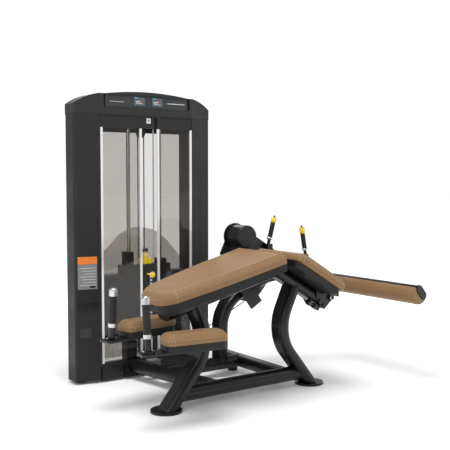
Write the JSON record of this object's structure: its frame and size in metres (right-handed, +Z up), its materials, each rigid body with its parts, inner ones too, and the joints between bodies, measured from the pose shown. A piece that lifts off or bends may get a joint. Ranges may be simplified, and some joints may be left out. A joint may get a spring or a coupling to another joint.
{
  "type": "lying leg curl machine",
  "caption": "Lying leg curl machine: angled padded bench on bent tube legs, swinging roller arm, arm rests with upright handles and a shrouded weight-stack tower.",
  "frame": {"origin": "centre of the footprint on the floor", "axes": "+Z up, +X from the head end towards the feet, +Y from the bench towards the weight tower"},
  "size_m": [1.6552, 1.126, 1.559],
  "materials": {
    "black_frame": "gloss black powder coat",
    "column_paint": "satin charcoal powder coat",
    "header_paint": "satin charcoal powder coat",
    "panel_dark": "dark grey printed panel with blank frames",
    "shroud_tint": "smoke tinted clear sheet with bright edges",
    "rear_sheet": "grey textured sheet",
    "steel_rod": "polished rod",
    "stack_steel": "black painted plate",
    "rubber_black": "matt",
    "cable_black": "sheathed wire rope",
    "pulley_black": "moulded nylon",
    "bracket_grey": "grey paint",
    "tan_leather": "soft upholstery",
    "pad_base": "textured moulded backing",
    "grip_grey": "matt grip",
    "chrome": "bright",
    "yellow": "yellow moulding",
    "knob_black": "black moulding"
  },
  "bodies": {
    "machine_frame": {"tower_base_frame": "black_frame", "tower_frame": "black_frame", "left_column_cover": "column_paint", "right_column_cover": "column_paint", "header_cover": "header_paint", "header_panel": "panel_dark", "fascia_panel": "column_paint", "front_shroud_left": "shroud_tint", "front_shroud_right": "shroud_tint", "rear_shroud": "rear_sheet", "lower_rear_shroud": "rear_sheet", "guide_rods": "steel_rod", "stack_risers": "black_frame", "weight_plates": "stack_steel", "tower_pulley_brackets": "black_frame", "bench_pulley_bracket": "bracket_grey", "drive_cable": "cable_black", "rubber_feet": "rubber_black", "foot_plates": "black_frame", "front_base_tube": "black_frame", "rear_base_tube": "black_frame", "right_cross_tube": "black_frame", "left_cross_tube": "black_frame", "tower_bracket": "black_frame", "frame_bolts": "chrome", "right_leg": "black_frame", "left_leg": "black_frame", "rear_upright": "black_frame", "thigh_beam": "black_frame", "chest_beam": "black_frame", "beam_end_bracket": "black_frame", "chest_pad": "tan_leather", "chest_pad_base": "pad_base", "thigh_pad": "tan_leather", "thigh_pad_base": "pad_base", "arm_pads": "tan_leather", "arm_pad_bases": "pad_base", "armrest_support": "black_frame", "handle_grips": "grip_grey", "handle_chrome": "chrome", "bearing_housing": "black_frame"},
    "stack_head": {"head_plate": "stack_steel", "selector_stem": "steel_rod", "addon_weights": "stack_steel"},
    "add_on_selector": {"addon_selector": "yellow"},
    "weight_pin": {"selector_pin": "yellow"},
    "upper_sheave": {"top_pulley": "pulley_black"},
    "lower_sheave": {"base_pulley": "pulley_black"},
    "bench_sheave": {"bench_pulley": "pulley_black"},
    "bench_pull_pin": {"pull_pin": "knob_black"},
    "cam": {"cam_plate": "black_frame", "pivot_shaft": "steel_rod"},
    "leg_arm": {"movement_arm": "black_frame", "counterweight": "black_frame", "start_lever": "grip_grey"},
    "start_trigger": {"start_button": "knob_black"},
    "carriage": {"roller_carriage": "black_frame", "roller_pad": "tan_leather", "roller_lever": "grip_grey"},
    "roller_trigger": {"roller_button": "knob_black"}
  },
  "joints": [
    {"name": "leg_curl", "type": "hinge", "parent": "machine_frame", "child": "cam", "pos_m": [0.408, 0.187, 0.565], "axis": [0, -1, 0], "range_deg": [0, 110]},
    {"name": "start_position", "type": "hinge", "parent": "cam", "child": "leg_arm", "pos_m": [0.408, 0.187, 0.565], "axis": [0, -1, 0], "range_deg": [0, 30]},
    {"name": "roller_slide", "type": "slide", "parent": "leg_arm", "child": "carriage", "axis": [0.9736, 0, -0.2284], "range_m": [0, 0.08]},
    {"name": "stack_lift", "type": "slide", "parent": "machine_frame", "child": "stack_head", "axis": [0, 0, 1], "range_m": [0, 0.29], "deforming": ["drive_cable"]},
    {"name": "addon_turn", "type": "hinge", "parent": "stack_head", "child": "add_on_selector", "pos_m": [-0.312, 0.469, 0.64], "axis": [0, 0, 1], "range_deg": [0, 90]},
    {"name": "pin_pull", "type": "slide", "parent": "stack_head", "child": "weight_pin", "axis": [0, -1, 0], "range_m": [0, 0.1]},
    {"name": "upper_sheave_turn", "type": "hinge", "parent": "machine_frame", "child": "upper_sheave", "pos_m": [-0.312, 0.503, 1.355], "axis": [1, 0, 0], "range_deg": [-488, 5]},
    {"name": "lower_sheave_turn", "type": "hinge", "parent": "machine_frame", "child": "lower_sheave", "pos_m": [-0.312, 0.499, 0.164], "axis": [1, 0, 0], "range_deg": [-437, 5]},
    {"name": "bench_sheave_turn", "type": "hinge", "parent": "machine_frame", "child": "bench_sheave", "pos_m": [-0.27125, 0.317, 0.14509], "axis": [-0.4242, 0, 0.9056], "range_deg": [-5, 369]},
    {"name": "bench_pin_pull", "type": "slide", "parent": "machine_frame", "child": "bench_pull_pin", "axis": [-0.8616, 0, 0.5075], "range_m": [0, 0.015], "stiffness_N_per_m": 800, "springref_m": -0.004},
    {"name": "start_button_press", "type": "slide", "parent": "leg_arm", "child": "start_trigger", "axis": [-0.2695, 0, -0.963], "range_m": [0, 0.006], "stiffness_N_per_m": 500, "springref_m": -0.002},
    {"name": "roller_button_press", "type": "slide", "parent": "carriage", "child": "roller_trigger", "axis": [0.184, 0, -0.9829], "range_m": [0, 0.006], "stiffness_N_per_m": 500, "springref_m": -0.002}
  ],
  "couplings": [
    {"joint": "stack_lift", "follows": "leg_curl", "m_per_rad": 0.15},
    {"joint": "upper_sheave_turn", "follows": "leg_curl", "ratio": -4.4118},
    {"joint": "lower_sheave_turn", "follows": "leg_curl", "ratio": -3.9474},
    {"joint": "bench_sheave_turn", "follows": "leg_curl", "ratio": 3.3333}
  ]
}
